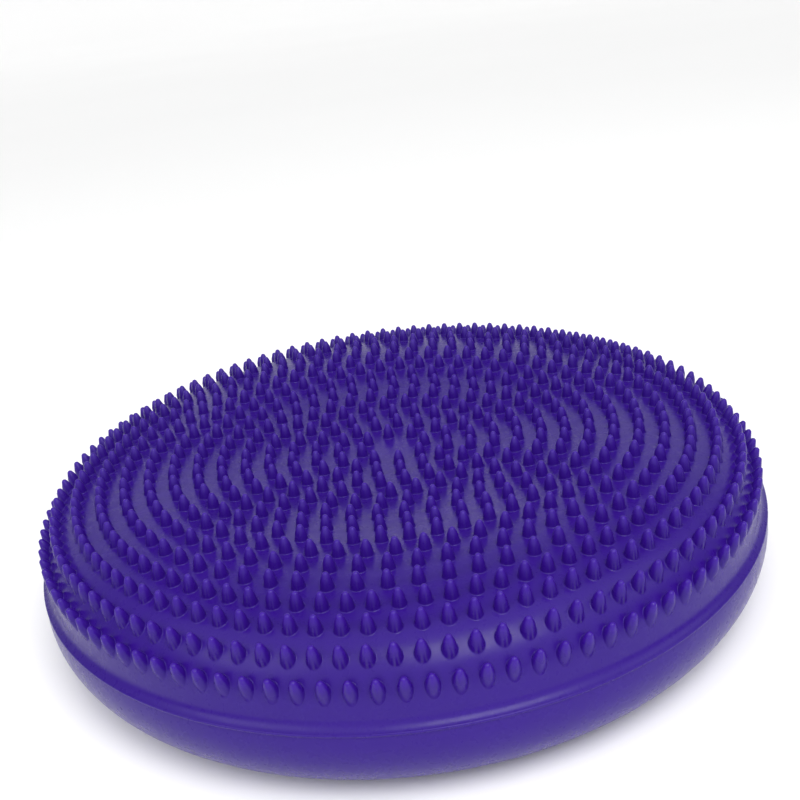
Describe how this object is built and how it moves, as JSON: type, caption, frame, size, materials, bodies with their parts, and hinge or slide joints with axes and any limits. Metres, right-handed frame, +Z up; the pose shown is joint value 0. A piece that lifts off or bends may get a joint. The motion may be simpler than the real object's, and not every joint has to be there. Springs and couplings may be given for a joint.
{
  "type": "wobble cushion",
  "caption": "Round air-filled balance cushion of soft PVC, with a shallow dish, a field of moulded massage spikes, a rolling side wall and an inflation valve.",
  "frame": {"origin": "middle of the face that rests on the floor", "axes": "+Z up through the middle of the disc, +Y to the back where the inflation valve is"},
  "size_m": [0.33, 0.3327, 0.0708],
  "materials": {
    "pvc_skin": "moulded soft PVC, satin gloss",
    "pvc_spikes": "moulded soft PVC, satin gloss",
    "pvc_valve": "moulded soft PVC",
    "valve_rubber": "moulded rubber"
  },
  "bodies": {
    "base": {"floor_pan": "pvc_skin", "lower_wall": "pvc_skin", "valve_seat": "pvc_valve", "valve_core": "valve_rubber"},
    "waist": {"parting_seam": "pvc_skin", "upper_wall": "pvc_skin", "rim_spikes": "pvc_spikes"},
    "top": {"top_shell": "pvc_skin", "massage_spikes": "pvc_spikes"},
    "plug": {"valve_plug": "pvc_valve"}
  },
  "joints": [
    {"name": "rock_sideways", "type": "hinge", "parent": "base", "child": "waist", "pos_m": [0, 0, 0.0178], "axis": [0, 1, 0], "range_deg": [-4, 4], "stiffness_Nm_per_rad": 150, "deforming": ["lower_wall"]},
    {"name": "rock_fore_aft", "type": "hinge", "parent": "waist", "child": "top", "pos_m": [0, 0, 0.045], "axis": [1, 0, 0], "range_deg": [-4, 4], "stiffness_Nm_per_rad": 150, "deforming": ["upper_wall", "rim_spikes"]},
    {"name": "plug_pull", "type": "slide", "parent": "base", "child": "plug", "axis": [0, 0.9397, -0.342], "range_m": [0, 0.012]}
  ]
}
